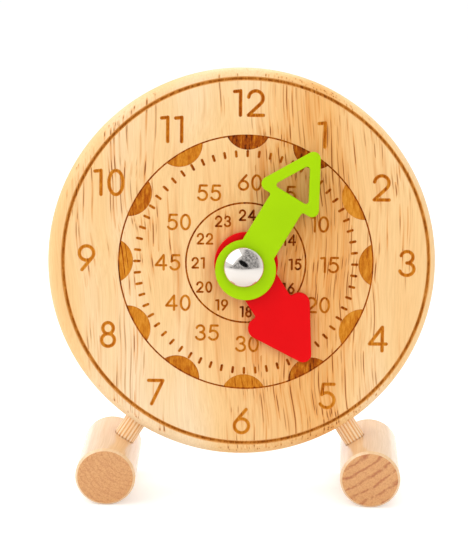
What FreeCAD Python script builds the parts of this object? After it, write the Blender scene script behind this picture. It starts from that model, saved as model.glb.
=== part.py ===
import FreeCAD, Part
import math
import os
import Sketcher

# Wooden teaching clock: a thick round face on two dowel feet, two flat hands in front, and a
# twelve-to-one gear train in a closed pocket behind the face.
#
# The pieces of the clock are drawn in the face's own frame: x to the right, y up along the face,
# z out of its front, with the middle of the front at the origin. "clock_frame" carries that frame
# to the stored one, where the clock leans back and stands on the table at height zero.

# Driving sizes, in millimetres, degrees and counts.
SIZES = {
    # wooden face
    "lean": 9,
    "face_radius": 70,
    "face_thick": 18,
    "face_edge_round": 4,
    "print_aside": 1.5,
    "print_raise": 0.3,
    "ring_radius": 65.7,
    "ring_wide": 1.6,
    "ring_deep": 0.7,
    "spindle_aside": 0.8,
    "spindle_drop": 0.6,
    "front_wall": 6,
    # feet and the fluted dowels that join them to the face
    "foot_radius": 10.8,
    "foot_long": 34.2,
    "foot_chamfer": 0.8,
    "leg_spread": 33,
    "leg_gap": 7.6,
    "right_foot_turn": 4,
    "dowel_radius": 4,
    "dowel_in_face": 15,
    "dowel_in_foot": 9,
    "dowel_chamfer": 0.6,
    "flute_count": 18,
    "flute_radius": 0.5,
    "flute_deep": 0.28,
    # hands
    "hand_thick": 2.2,
    "hand_edge_round": 0.35,
    "minute_angle": 30.75,
    "minute_aside": 1.1,
    "minute_drop": 0.65,
    "minute_hub_radius": 10.8,
    "minute_arm_half": 6.5,
    "minute_head_from": 27.2,
    "minute_head_half": 13.3,
    "minute_head_tip": 50.4,
    "minute_head_round": 2.5,
    "minute_notch_round": 0.9,
    "window_from": 30.3,
    "window_half": 7.2,
    "window_tip": 43,
    "window_round": 1,
    "hour_angle": 147.25,
    "hour_aside": 1.1,
    "hour_drop": 0.2,
    "hour_hub_radius": 11.4,
    "hour_arm_half": 7.3,
    "hour_head_from": 18.1,
    "hour_head_half": 15.2,
    "hour_head_tip": 44.2,
    "hour_head_round": 3.8,
    "hour_tip_round": 3,
    "hour_notch_round": 0.9,
    # spindle stack
    "bolt_radius": 2,
    "bolt_thread_radius": 1.5,
    "bolt_thread_long": 3.4,
    "bolt_head_radius": 4.5,
    "bolt_head_thick": 1.8,
    "sleeve_radius": 3,
    "sleeve_step": 0.35,
    "pipe_radius": 4.2,
    "pipe_step": 0.4,
    "bush_radius": 6,
    "bush_flange_radius": 8.5,
    "bush_flange_thick": 0.8,
    "face_washer_radius": 9,
    "face_washer_thick": 0.8,
    "spacer_radius": 6.5,
    "spacer_thick": 0.8,
    "dome_washer_radius": 5.5,
    "dome_washer_thick": 0.4,
    "dome_radius": 7.1,
    "dome_rise": 4.6,
    "dome_rim": 0.5,
    "spring_radius": 4.6,
    "spring_thick": 0.25,
    # gears
    "gear_module": 0.75,
    "pressure_angle": 25,
    "minute_teeth": 15,
    "wheel_teeth": 45,
    "pinion_teeth": 12,
    "hour_teeth": 48,
    "tooth_thinning": 0.09,
    "root_clearance": 0.19,
    "gear_thick": 2.2,
    "pinion_hub_radius": 3,
    "stud_radius": 1.5,
    "stud_in_face": 4,
    "stud_washer_radius": 2.9,
    "stud_washer_thick": 0.5,
    "web_hole_radius": 2.6,
    "web_hole_count": 5,
    # back of the face
    "bridge_half": 6,
    "bridge_land": 6,
    "bridge_thick": 1.4,
    "cover_land": 11,
    "cover_thick": 1.8,
    "screw_radius": 1.25,
    "screw_head_radius": 2.5,
    "screw_head_thick": 1.2,
    "screw_slot": 0.6,
    "cover_screw_long": 6,
    "bridge_screw_long": 5,
    # clearances
    "run": 0.05,
    "glue": 0.05,
    "side_run": 0.2,
    "pocket_gap": 1.25,
    "fit_gap": 0.2,
    "overrun": 1,
}

# Places worked out from the sizes. z is along the spindle, zero at the front of the face.
PLACES = {
    "back": "-size.face_thick",
    "mid": "-size.face_thick / 2",
    "spindle_x": "size.spindle_aside",
    "spindle_y": "-size.spindle_drop",
    "gear_apart": "size.gear_module * (size.minute_teeth + size.wheel_teeth) / 2",
    "stud_y": "place.spindle_y + place.gear_apart",
    "hour_tip_radius": "size.gear_module * (size.hour_teeth / 2 + 1)",
    "wheel_tip_radius": "size.gear_module * (size.wheel_teeth / 2 + 1)",
    "pocket_radius": "max(place.hour_tip_radius; place.wheel_tip_radius) + size.pocket_gap",
    "bridge_end": "place.pocket_radius + size.bridge_land",
    "cover_radius": "place.pocket_radius + size.cover_land",
    # layers from the face's front wall backwards
    "floor": "-size.front_wall",
    "flange": "place.floor - size.bush_flange_thick",
    "hour_gear_front": "place.flange - size.side_run",
    "hour_gear_back": "place.hour_gear_front - size.gear_thick",
    "minute_gear_front": "place.hour_gear_back - 2 * size.side_run",
    "minute_gear_back": "place.minute_gear_front - size.gear_thick",
    "stud_washer_front": "place.floor - size.side_run / 2",
    "pinion_front": "place.stud_washer_front - size.stud_washer_thick - size.side_run / 2",
    "pinion_back": "place.hour_gear_back - size.side_run",
    "sleeve_back": "place.minute_gear_back - size.side_run",
    "bridge_front": "place.sleeve_back - size.spring_thick - 2 * size.side_run",
    "bridge_back": "place.bridge_front - size.bridge_thick",
    "cover_front": "place.back + size.cover_thick",
    # layers from the face forwards
    "hour_hand_back": "size.face_washer_thick + size.side_run",
    "hour_hand_front": "place.hour_hand_back + size.hand_thick",
    "spacer_back": "place.hour_hand_front + size.side_run",
    "minute_hand_back": "place.spacer_back + size.spacer_thick",
    "minute_hand_front": "place.minute_hand_back + size.hand_thick",
    "dome_washer_back": "place.minute_hand_front + size.side_run / 2",
    "dome_back": "place.dome_washer_back + size.dome_washer_thick",
    # feet, and where the frame of the face lies over the table
    "leg_reach": "size.face_radius + size.leg_gap + size.foot_radius",
    "leg_x": "place.leg_reach * sin(size.leg_spread)",
    "leg_y": "-place.leg_reach * cos(size.leg_spread)",
    "foot_depth": "place.leg_y * sin(size.lean) - place.mid * cos(size.lean)",
    "foot_level": "place.leg_y * cos(size.lean) + place.mid * sin(size.lean)",
    "foremost": "place.foot_depth - size.foot_long / 2 * cos(size.right_foot_turn)"
                " - (size.foot_radius - size.foot_chamfer) * sin(size.right_foot_turn)",
    "rearmost": "(size.face_radius - size.face_edge_round) * sin(size.lean)"
                " + (size.face_thick - size.face_edge_round) * cos(size.lean) + size.face_edge_round",
    "frame_y": "-(place.foremost + place.rearmost) / 2",
    "frame_z": "size.foot_radius - place.foot_level",
}

doc = FreeCAD.newDocument("teaching_clock")


def add_sheet(name, cells):
    """Fill a sheet with one named cell a row."""
    sheet = doc.addObject("Spreadsheet::Sheet", name)
    for row, (alias, entry) in enumerate(cells.items(), start=1):
        sheet.set("A%d" % row, alias)
        sheet.setAlias("B%d" % row, alias)
        sheet.set("B%d" % row, "=" + entry if isinstance(entry, str) else str(entry))
    doc.recompute()
    return sheet


sizes = add_sheet("size", SIZES)
places = add_sheet("place", PLACES)


def size(name):
    return float(sizes.get(name))


def place(name):
    return float(places.get(name))


def vector(x, y, z):
    return "create(<<vector>>; %s; %s; %s)" % (x, y, z)


def turn(axis, angle):
    """A rotation about one of the three axes, as an expression."""
    unit = {"x": (1, 0, 0), "y": (0, 1, 0), "z": (0, 0, 1)}[axis]
    return "create(<<rotation>>; %s; %s)" % (vector(*unit), angle)


def placement(x, y, z, rotation=turn("z", 0)):
    return "create(<<placement>>; %s; %s)" % (vector(x, y, z), rotation)


clock_frame = doc.addObject("App::Placement", "clock_frame")
clock_frame.setExpression("Placement", placement(0, "place.frame_y", "place.frame_z", turn("x", "90 - size.lean")))
doc.recompute()

parts = []


def finish(thing, label, x=0, y=0, z=0, angle="0"):
    """Name a piece and seat it in the face's frame, turned about the spindle's direction."""
    thing.Label = label
    thing.setExpression("Placement", "clock_frame.Placement * " + placement(x, y, z, turn("z", angle)))
    parts.append(thing)
    return thing


def new_body(name):
    return doc.addObject("PartDesign::Body", name + "_body")


def new_sketch(body, name, plane="XY_Plane", at=(0, 0, 0)):
    """A sketch on one of the body's own planes, moved within that plane and along its normal."""
    sketch = body.newObject("Sketcher::SketchObject", name)
    support = next(item for item in body.Origin.OriginFeatures if item.Role == plane)
    sketch.AttachmentSupport = (support, "")
    sketch.MapMode = "FlatFace"
    for axis, shift in zip("xyz", at):
        if shift:
            sketch.setExpression("AttachmentOffset.Base." + axis, shift)
    doc.recompute()
    return sketch


def number(owner, expression):
    return float(owner.evalExpression(str(expression)))


def bind(sketch, kind, *parts_and_value):
    """Add a dimension to the sketch and bind it to its expression."""
    *geometry, expression = parts_and_value
    index = sketch.addConstraint(Sketcher.Constraint(kind, *geometry, number(sketch, expression)))
    if isinstance(expression, str):
        sketch.setExpression("Constraints[%d]" % index, expression)


def loop(sketch, corners):
    """A closed outline. Each corner is (x, y), or (x, y, "arc") where an arc about the
    vertical axis leads on to the next corner."""
    first = sketch.GeometryCount
    points = [FreeCAD.Vector(number(sketch, x), number(sketch, y), 0) for x, y, *_ in corners]
    count = len(corners)
    for index, corner in enumerate(corners):
        start, end = points[index], points[(index + 1) % count]
        if len(corner) == 3:
            centre_y = (end.y ** 2 - start.y ** 2 - start.x ** 2 + end.x ** 2) / (2 * (end.y - start.y))
            centre = FreeCAD.Vector(0, centre_y, 0)
            circle = Part.Circle(centre, FreeCAD.Vector(0, 0, 1), (start - centre).Length)
            sketch.addGeometry(Part.ArcOfCircle(circle, circle.parameter(start), circle.parameter(end)), False)
            sketch.addConstraint(Sketcher.Constraint("PointOnObject", first + index, 3, -2))
        else:
            sketch.addGeometry(Part.LineSegment(start, end), False)
    for index, (x, y, *_) in enumerate(corners):
        edge = first + index
        sketch.addConstraint(Sketcher.Constraint("Coincident", edge, 2, first + (index + 1) % count, 1))
        bind(sketch, "DistanceX", -1, 1, edge, 1, x)
        bind(sketch, "DistanceY", -1, 1, edge, 1, y)
    doc.recompute()


def circle(sketch, x, y, radius):
    centre = FreeCAD.Vector(number(sketch, x), number(sketch, y), 0)
    edge = sketch.addGeometry(Part.Circle(centre, FreeCAD.Vector(0, 0, 1), number(sketch, radius)), False)
    bind(sketch, "Radius", edge, radius)
    bind(sketch, "DistanceX", -1, 1, edge, 3, x)
    bind(sketch, "DistanceY", -1, 1, edge, 3, y)


def slot(sketch, x, low, high, radius):
    """An upright outline with round ends centred at the two heights."""
    up = FreeCAD.Vector(0, 0, 1)
    middle, reach = number(sketch, x), number(sketch, radius)
    low_y, high_y = number(sketch, low), number(sketch, high)
    top = Part.Circle(FreeCAD.Vector(middle, high_y, 0), up, reach)
    bottom = Part.Circle(FreeCAD.Vector(middle, low_y, 0), up, reach)
    left, right = middle - reach, middle + reach
    drawn = [
        Part.ArcOfCircle(top, 0, math.pi),
        Part.LineSegment(FreeCAD.Vector(left, high_y, 0), FreeCAD.Vector(left, low_y, 0)),
        Part.ArcOfCircle(bottom, math.pi, 2 * math.pi),
        Part.LineSegment(FreeCAD.Vector(right, low_y, 0), FreeCAD.Vector(right, high_y, 0)),
    ]
    edges = [sketch.addGeometry(edge, False) for edge in drawn]
    for edge, following in zip(edges, edges[1:] + edges[:1]):
        sketch.addConstraint(Sketcher.Constraint("Tangent", edge, 2, following, 1))
    upper, _, lower, _ = edges
    bind(sketch, "Radius", upper, radius)
    for edge, height in ((upper, high), (lower, low)):
        bind(sketch, "DistanceX", -1, 1, edge, 3, x)
        bind(sketch, "DistanceY", -1, 1, edge, 3, height)


def pad(body, sketch, length, name):
    feature = body.newObject("PartDesign::Pad", name)
    feature.Profile = sketch
    feature.setExpression("Length", length)
    doc.recompute()
    return feature


def pocket(body, sketch, length, name, forward=False):
    """Cut down from the sketch, or up along its normal where forward is set."""
    feature = body.newObject("PartDesign::Pocket", name)
    feature.Profile = sketch
    feature.Reversed = forward
    feature.setExpression("Length", length)
    doc.recompute()
    return feature


def revolve(body, sketch, name, kind="Revolution"):
    feature = body.newObject("PartDesign::" + kind, name)
    feature.Profile = sketch
    feature.ReferenceAxis = (sketch, ["V_Axis"])
    feature.Angle = 360
    doc.recompute()
    return feature


def dress(body, feature, kind, edges, amount, name):
    """Fillet or chamfer the edges that the test picks from the feature."""
    picked = ["Edge%d" % index for index, edge in enumerate(feature.Shape.Edges, start=1) if edges(edge)]
    dressed = body.newObject("PartDesign::" + kind, name)
    dressed.Base = (feature, picked)
    dressed.setExpression("Radius" if kind == "Fillet" else "Size", amount)
    doc.recompute()
    return dressed


# How closely a picked edge has to match its size.
MATCH = 1e-4


def near(a, b):
    return abs(a - b) < MATCH


def is_circle(edge, radius, z=None):
    """True for a whole circle of this radius, at this height where one is given."""
    if edge.Curve.TypeId != "Part::GeomCircle" or not near(edge.Curve.Radius, radius):
        return False
    return z is None or near(edge.Curve.Center.z, z)


def upright_at(corners):
    """A test for the upright edges that stand on these corners."""
    def test(edge):
        box = edge.BoundBox
        if box.XLength > MATCH or box.YLength > MATCH:
            return False
        return any(near(box.XMin, x) and near(box.YMin, y) for x, y in corners)
    return test


def turned(label, corners, x=0, y=0):
    """A piece turned about the spindle's direction from half of its section."""
    body = new_body(label)
    sketch = new_sketch(body, label + "_section", "XZ_Plane")
    loop(sketch, corners)
    revolve(body, sketch, label + "_turned")
    return finish(body, label, x, y)


def ring(label, inner, outer, low, high, x="place.spindle_x", y="place.spindle_y"):
    return turned(label, [(inner, low), (outer, low), (outer, high), (inner, high)], x, y)


def leg_rotation(side):
    """Points a piece's own z axis from the face's middle down along one leg."""
    return "%s * %s" % (turn("z", "%d * size.leg_spread" % side), turn("x", 90))


def make_clock_face():
    body = new_body("clock_face")
    section = new_sketch(body, "board_section", "XZ_Plane")
    loop(section, [(0, "place.back"), ("size.face_radius", "place.back"), ("size.face_radius", 0), (0, 0)])
    board = revolve(body, section, "board")
    radius = size("face_radius")
    dress(body, board, "Fillet", lambda edge: is_circle(edge, radius), "size.face_edge_round", "round_edges")

    groove = new_sketch(body, "ring_section", "XZ_Plane", ("size.print_aside", 0, "-size.print_raise"))
    loop(groove, [
        ("size.ring_radius - size.ring_wide / 2", 0),
        ("size.ring_radius - size.ring_wide / 4", "-size.ring_deep"),
        ("size.ring_radius + size.ring_wide / 4", "-size.ring_deep"),
        ("size.ring_radius + size.ring_wide / 2", 0),
    ])
    revolve(body, groove, "ring_groove", "Groove")

    bore = new_sketch(body, "bush_bore")
    circle(bore, "place.spindle_x", "place.spindle_y", "size.bush_radius + size.glue")
    pocket(body, bore, "size.front_wall + size.overrun", "bush_hole")

    from_back = (0, 0, "place.back")
    gears = new_sketch(body, "gear_room", at=from_back)
    slot(gears, "place.spindle_x", "place.spindle_y", "place.stud_y", "place.pocket_radius")
    pocket(body, gears, "size.face_thick - size.front_wall", "gear_pocket", forward=True)

    seat = new_sketch(body, "bridge_room", at=from_back)
    slot(seat, "place.spindle_x", "place.spindle_y - place.bridge_end + size.bridge_half",
         "place.stud_y + place.bridge_end - size.bridge_half", "size.bridge_half + size.fit_gap")
    pocket(body, seat, "place.bridge_front - place.back", "bridge_seat", forward=True)

    lid = new_sketch(body, "cover_room", at=from_back)
    slot(lid, "place.spindle_x", "place.spindle_y", "place.stud_y", "place.cover_radius + size.fit_gap")
    pocket(body, lid, "size.cover_thick", "cover_seat", forward=True)

    stud = new_sketch(body, "stud_bore", at=(0, 0, "place.floor"))
    circle(stud, "place.spindle_x", "place.stud_y", "size.stud_radius")
    pocket(body, stud, "size.stud_in_face", "stud_hole", forward=True)

    pilots = new_sketch(body, "cover_pilots", at=(0, 0, "place.cover_front"))
    for x, y in COVER_SCREWS:
        circle(pilots, x, y, "size.screw_radius")
    pocket(body, pilots, "size.cover_screw_long", "cover_pilot_holes", forward=True)

    pilots = new_sketch(body, "bridge_pilots", at=(0, 0, "place.bridge_front"))
    for x, y in BRIDGE_SCREWS:
        circle(pilots, x, y, "size.screw_radius")
    pocket(body, pilots, "size.bridge_screw_long", "bridge_pilot_holes", forward=True)

    for side, name in ((-1, "left"), (1, "right")):
        hole = body.newObject("PartDesign::SubtractiveCylinder", name + "_dowel_hole")
        hole.setExpression("Radius", "size.dowel_radius + size.glue")
        hole.setExpression("Height", "size.dowel_in_face + size.overrun")
        start = "(size.face_radius - size.dowel_in_face)"
        hole.setExpression("Placement", placement(
            "%d * %s * sin(size.leg_spread)" % (side, start),
            "-%s * cos(size.leg_spread)" % start,
            "place.mid", leg_rotation(side)))
        doc.recompute()
    finish(body, "clock_face")


# Screw places in the face's frame, as (x, y) expressions.
COVER_SCREWS = [
    ("place.spindle_x %s (place.pocket_radius + size.cover_land / 2)" % sign, height)
    for sign in "+-" for height in ("place.spindle_y", "place.stud_y")
]
BRIDGE_SCREWS = [
    ("place.spindle_x", "place.spindle_y - place.pocket_radius - size.bridge_land / 2"),
    ("place.spindle_x", "place.stud_y + place.pocket_radius + size.bridge_land / 2"),
]


def make_foot(label, side, yaw):
    """A short round bar lying front to back, bored for its leg dowel."""
    body = new_body(label)
    sketch = new_sketch(body, label + "_section", "XZ_Plane")
    loop(sketch, [
        (0, "-size.foot_long / 2"),
        ("size.foot_radius - size.foot_chamfer", "-size.foot_long / 2"),
        ("size.foot_radius", "-size.foot_long / 2 + size.foot_chamfer"),
        ("size.foot_radius", "size.foot_long / 2 - size.foot_chamfer"),
        ("size.foot_radius - size.foot_chamfer", "size.foot_long / 2"),
        (0, "size.foot_long / 2"),
    ])
    revolve(body, sketch, label + "_bar")
    centre = "clock_frame.Placement * " + vector("%d * place.leg_x" % side, "place.leg_y", "place.mid")
    body.setExpression("Placement", "create(<<placement>>; %s; %s * %s)" % (centre, turn("z", yaw), turn("x", -90)))

    hole = doc.addObject("Part::Cylinder", label + "_hole")
    hole.setExpression("Radius", "size.dowel_radius + size.glue")
    hole.setExpression("Height", "size.dowel_in_foot + size.foot_radius")
    start = "(place.leg_reach - 2 * size.foot_radius)"
    hole.setExpression("Placement", "clock_frame.Placement * " + placement(
        "%d * %s * sin(size.leg_spread)" % (side, start), "-%s * cos(size.leg_spread)" % start,
        "place.mid", leg_rotation(side)))
    bored = doc.addObject("Part::Cut", label + "_bored")
    bored.Base = body
    bored.Tool = hole
    bored.Label = label
    doc.recompute()
    parts.append(bored)


def make_leg_dowel(label, side):
    """A fluted dowel, glued into the face's rim and into the foot."""
    body = new_body(label)
    long = "(place.leg_reach - size.foot_radius + size.dowel_in_foot - size.face_radius + size.dowel_in_face)"
    sketch = new_sketch(body, label + "_section", "XZ_Plane")
    loop(sketch, [
        (0, 0),
        ("size.dowel_radius - size.dowel_chamfer", 0),
        ("size.dowel_radius", "size.dowel_chamfer"),
        ("size.dowel_radius", long + " - size.dowel_chamfer"),
        ("size.dowel_radius - size.dowel_chamfer", long),
        (0, long),
    ])
    revolve(body, sketch, label + "_bar")
    flute = new_sketch(body, label + "_flute")
    circle(flute, "size.dowel_radius + size.flute_radius - size.flute_deep", 0, "size.flute_radius")
    cut = pocket(body, flute, long, label + "_one_flute", forward=True)
    pattern = body.newObject("PartDesign::PolarPattern", label + "_flutes")
    pattern.Originals = [cut]
    pattern.Axis = (flute, ["N_Axis"])
    pattern.Angle = 360
    pattern.setExpression("Occurrences", "size.flute_count")
    body.Tip = pattern
    doc.recompute()
    body.Label = label
    start = "(size.face_radius - size.dowel_in_face)"
    body.setExpression("Placement", "clock_frame.Placement * " + placement(
        "%d * %s * sin(size.leg_spread)" % (side, start), "-%s * cos(size.leg_spread)" % start,
        "place.mid", leg_rotation(side)))
    parts.append(body)


def make_hand(label, word, side, low, bore):
    """A flat hand with a round hub and an arrow head. Its outline lies a little off its bore."""
    def own(name):
        return "size.%s_%s" % (word, name)

    body = new_body(label)
    hub = new_sketch(body, label + "_hub_outline", at=(0, 0, low))
    middle = "%d * %s" % (side, own("aside"))
    circle(hub, middle, "-" + own("drop"), own("hub_radius"))
    pad(body, hub, "size.hand_thick", label + "_hub")

    arm = new_sketch(body, label + "_arm_outline", at=(0, 0, low))
    corners = [
        ("%s - %s" % (middle, own("arm_half")), 0),
        ("%s + %s" % (middle, own("arm_half")), 0),
        ("%s + %s" % (middle, own("arm_half")), own("head_from")),
        ("%s + %s" % (middle, own("head_half")), own("head_from")),
        (middle, own("head_tip")),
        ("%s - %s" % (middle, own("head_half")), own("head_from")),
        ("%s - %s" % (middle, own("arm_half")), own("head_from")),
    ]
    loop(arm, corners)
    blade = pad(body, arm, "size.hand_thick", label + "_arm")
    at = [(number(arm, x), number(arm, y)) for x, y in corners]
    notches = dress(body, blade, "Fillet", upright_at([at[2], at[6]]), own("notch_round"), label + "_notches")
    shoulders = dress(body, notches, "Fillet", upright_at([at[3], at[5]]), own("head_round"), label + "_shoulders")
    tip_round = own("tip_round") if word == "hour" else own("head_round")
    last = dress(body, shoulders, "Fillet", upright_at([at[4]]), tip_round, label + "_tip")

    if word == "minute":
        window = new_sketch(body, label + "_window_outline", at=(0, 0, low))
        corners = [
            ("%s - size.window_half" % middle, "size.window_from"),
            ("%s + size.window_half" % middle, "size.window_from"),
            (middle, "size.window_tip"),
        ]
        loop(window, corners)
        opening = pocket(body, window, "size.hand_thick", label + "_window", forward=True)
        at = [(number(window, x), number(window, y)) for x, y in corners]
        last = dress(body, opening, "Fillet", upright_at(at), "size.window_round", label + "_window_corners")

    front = number(arm, low + " + size.hand_thick")
    def on_front(edge):
        return near(edge.BoundBox.ZMin, front) and near(edge.BoundBox.ZMax, front)
    dress(body, last, "Fillet", on_front, "size.hand_edge_round", label + "_soft_edge")

    hole = new_sketch(body, label + "_bore_outline", at=(0, 0, low))
    circle(hole, 0, 0, bore)
    pocket(body, hole, "size.hand_thick", label + "_bore", forward=True)
    finish(body, label, "place.spindle_x", "place.spindle_y", 0, "-size.%s_angle" % word)


def polar(radius, angle):
    return FreeCAD.Vector(radius * math.cos(angle), radius * math.sin(angle), 0)


def gear_outline(teeth):
    """The closed wire of an involute gear, with one tooth centred on the x axis."""
    module = size("gear_module")
    pressure = math.radians(size("pressure_angle"))
    pitch = module * teeth / 2
    base = pitch * math.cos(pressure)
    tip = pitch + module
    root = pitch - module - size("root_clearance")
    start = max(base, root)
    half_tooth = (math.pi * module / 2 - size("tooth_thinning")) / (2 * pitch)
    involute_at_pitch = math.tan(pressure) - pressure

    def half_angle(radius):
        roll = math.acos(min(1, base / radius))
        return half_tooth + involute_at_pitch - (math.tan(roll) - roll)

    radii = [start + (tip - start) * share for share in FLANK_SHARES]
    edges = []
    for tooth in range(teeth):
        middle = 2 * math.pi * tooth / teeth
        following = middle + 2 * math.pi / teeth
        rising = [polar(radius, middle - half_angle(radius)) for radius in radii]
        falling = [polar(radius, middle + half_angle(radius)) for radius in reversed(radii)]
        foot_in = polar(root, middle - half_angle(start))
        foot_out = polar(root, middle + half_angle(start))
        next_foot = polar(root, following - half_angle(start))
        if root < start:
            edges.append(Part.makeLine(foot_in, rising[0]))
        edges.append(spline(rising))
        edges.append(Part.Arc(rising[-1], polar(tip, middle), falling[0]).toShape())
        edges.append(spline(falling))
        if root < start:
            edges.append(Part.makeLine(falling[-1], foot_out))
        edges.append(Part.Arc(foot_out, polar(root, middle + math.pi / teeth), next_foot).toShape())
    return Part.Wire(edges)


# How far up a flank each point of its curve lies.
FLANK_SHARES = (0, 0.15, 0.4, 0.7, 1)


def spline(points):
    curve = Part.BSplineCurve()
    curve.interpolate(points)
    return curve.toShape()


def make_gear(label, teeth_name, bore, back, front, x, y, angle, web_at=None):
    """A spur gear of the given count, with round openings in its web where web_at is set."""
    teeth = int(size(teeth_name))
    wires = [gear_outline(teeth), Part.Wire(Part.makeCircle(bore))]
    if web_at:
        count = int(size("web_hole_count"))
        for index in range(count):
            centre = polar(web_at, 2 * math.pi * index / count)
            wires.append(Part.Wire(Part.makeCircle(size("web_hole_radius"), centre)))
    outline = doc.addObject("Part::Feature", label + "_outline")
    outline.Shape = Part.Face(wires, "Part::FaceMakerBullseye")
    gear = doc.addObject("Part::Extrusion", label)
    gear.Base = outline
    gear.DirMode = "Custom"
    gear.Dir = FreeCAD.Vector(0, 0, 1)
    gear.Solid = True
    gear.setExpression("LengthFwd", "%s - %s" % (front, back))
    finish(gear, label, x, y, back, angle)


def make_gears():
    spindle = ("place.spindle_x", "place.spindle_y")
    stud = ("place.spindle_x", "place.stud_y")
    glue = size("glue")
    module = size("gear_module")
    # A tooth of each driver points at its partner, whose facing gap is half a tooth round.
    make_gear("minute_pinion", "minute_teeth", size("sleeve_radius") + glue / 2,
              "place.minute_gear_back", "place.minute_gear_front", *spindle, "90")
    wheel_web = (module * size("wheel_teeth") / 2 + size("pinion_hub_radius")) / 2
    make_gear("intermediate_wheel", "wheel_teeth", size("pinion_hub_radius") + glue / 2,
              "place.minute_gear_back", "place.minute_gear_front", *stud,
              "-90 + 180 / size.wheel_teeth", wheel_web)
    hour_web = (module * size("hour_teeth") / 2 + size("pipe_radius")) / 2
    make_gear("hour_gear", "hour_teeth", size("pipe_radius") + glue / 2,
              "place.hour_gear_back", "place.hour_gear_front", *spindle,
              "90 + 180 / size.hour_teeth", hour_web)

    # The intermediate pinion: toothed in front, with a hub behind that carries the wheel.
    outline = doc.addObject("Part::Feature", "intermediate_pinion_outline")
    outline.Shape = Part.Face(gear_outline(int(size("pinion_teeth"))))
    toothed = doc.addObject("Part::Extrusion", "intermediate_pinion_teeth")
    toothed.Base = outline
    toothed.DirMode = "Custom"
    toothed.Dir = FreeCAD.Vector(0, 0, 1)
    toothed.Solid = True
    toothed.setExpression("LengthFwd", "place.pinion_front - place.pinion_back")
    toothed.setExpression("Placement", placement(0, 0, "place.pinion_back"))
    hub = doc.addObject("Part::Cylinder", "intermediate_pinion_hub")
    hub.setExpression("Radius", "size.pinion_hub_radius")
    hub.setExpression("Height", "place.pinion_back - place.minute_gear_back")
    hub.setExpression("Placement", placement(0, 0, "place.minute_gear_back"))
    joined = doc.addObject("Part::Fuse", "intermediate_pinion_solid")
    joined.Base = toothed
    joined.Tool = hub
    bore = doc.addObject("Part::Cylinder", "intermediate_pinion_bore")
    bore.setExpression("Radius", "size.stud_radius + size.run")
    bore.setExpression("Height", "place.pinion_front - place.minute_gear_back")
    bore.setExpression("Placement", placement(0, 0, "place.minute_gear_back"))
    pinion = doc.addObject("Part::Cut", "intermediate_pinion")
    pinion.Base = joined
    pinion.Tool = bore
    finish(pinion, "intermediate_pinion", *stud, 0, "-90")


def make_spindle():
    """The fixed bolt, the two running tubes on it, and the rings between them."""
    x, y = "place.spindle_x", "place.spindle_y"
    thread_end = "place.dome_back + size.bolt_thread_long"
    turned("centre_bolt", [
        (0, "place.bridge_back - size.bolt_head_thick"),
        ("size.bolt_head_radius", "place.bridge_back - size.bolt_head_thick"),
        ("size.bolt_head_radius", "place.bridge_back"),
        ("size.bolt_radius", "place.bridge_back"),
        ("size.bolt_radius", "place.dome_back"),
        ("size.bolt_thread_radius", "place.dome_back"),
        ("size.bolt_thread_radius", thread_end),
        (0, thread_end),
    ], x, y)
    turned("dome_nut", [
        ("size.bolt_thread_radius", "place.dome_back"),
        ("size.dome_radius", "place.dome_back"),
        ("size.dome_radius", "place.dome_back + size.dome_rim", "arc"),
        (0, "place.dome_back + size.dome_rim + size.dome_rise"),
        (0, thread_end),
        ("size.bolt_thread_radius", thread_end),
    ], x, y)
    turned("minute_sleeve", [
        ("size.bolt_radius + size.run", "place.sleeve_back"),
        ("size.sleeve_radius", "place.sleeve_back"),
        ("size.sleeve_radius", "place.minute_hand_back"),
        ("size.sleeve_radius - size.sleeve_step", "place.minute_hand_back"),
        ("size.sleeve_radius - size.sleeve_step", "place.minute_hand_front"),
        ("size.bolt_radius + size.run", "place.minute_hand_front"),
    ], x, y)
    turned("hour_pipe", [
        ("size.sleeve_radius + size.run", "place.hour_gear_back"),
        ("size.pipe_radius", "place.hour_gear_back"),
        ("size.pipe_radius", "place.hour_hand_back"),
        ("size.pipe_radius - size.pipe_step", "place.hour_hand_back"),
        ("size.pipe_radius - size.pipe_step", "place.hour_hand_front"),
        ("size.sleeve_radius + size.run", "place.hour_hand_front"),
    ], x, y)
    turned("face_bush", [
        ("size.pipe_radius + size.run", "place.flange"),
        ("size.bush_flange_radius", "place.flange"),
        ("size.bush_flange_radius", "place.floor"),
        ("size.bush_radius", "place.floor"),
        ("size.bush_radius", 0),
        ("size.pipe_radius + size.run", 0),
    ], x, y)
    ring("face_washer", "size.pipe_radius + size.run", "size.face_washer_radius", 0, "size.face_washer_thick")
    ring("hand_spacer", "size.sleeve_radius + size.glue / 2", "size.spacer_radius",
         "place.spacer_back", "place.minute_hand_back")
    ring("dome_washer", "size.bolt_radius + size.run", "size.dome_washer_radius",
         "place.dome_washer_back", "place.dome_back")
    turned("spring_washer", [
        ("size.bolt_radius + size.run", "place.sleeve_back - size.side_run / 2 - size.spring_thick"),
        ("size.spring_radius", "place.bridge_front"),
        ("size.spring_radius", "place.bridge_front + size.spring_thick"),
        ("size.bolt_radius + size.run", "place.sleeve_back - size.side_run / 2"),
    ], x, y)


def make_stud():
    x, y = "place.spindle_x", "place.stud_y"
    turned("intermediate_stud", [
        (0, "place.bridge_back"),
        ("size.stud_radius", "place.bridge_back"),
        ("size.stud_radius", "place.floor + size.stud_in_face"),
        (0, "place.floor + size.stud_in_face"),
    ], x, y)
    washers = []
    for name, back in (("front", "place.stud_washer_front - size.stud_washer_thick"),
                       ("rear", "place.bridge_front + size.side_run / 2")):
        body = new_body("stud_washer_" + name)
        sketch = new_sketch(body, "stud_washer_%s_outline" % name, at=(0, 0, back))
        circle(sketch, 0, 0, "size.stud_washer_radius")
        circle(sketch, 0, 0, "size.stud_radius + size.run")
        pad(body, sketch, "size.stud_washer_thick", "stud_washer_%s_disc" % name)
        washers.append(body)
    group("stud_washers", washers, x, y)


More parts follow.
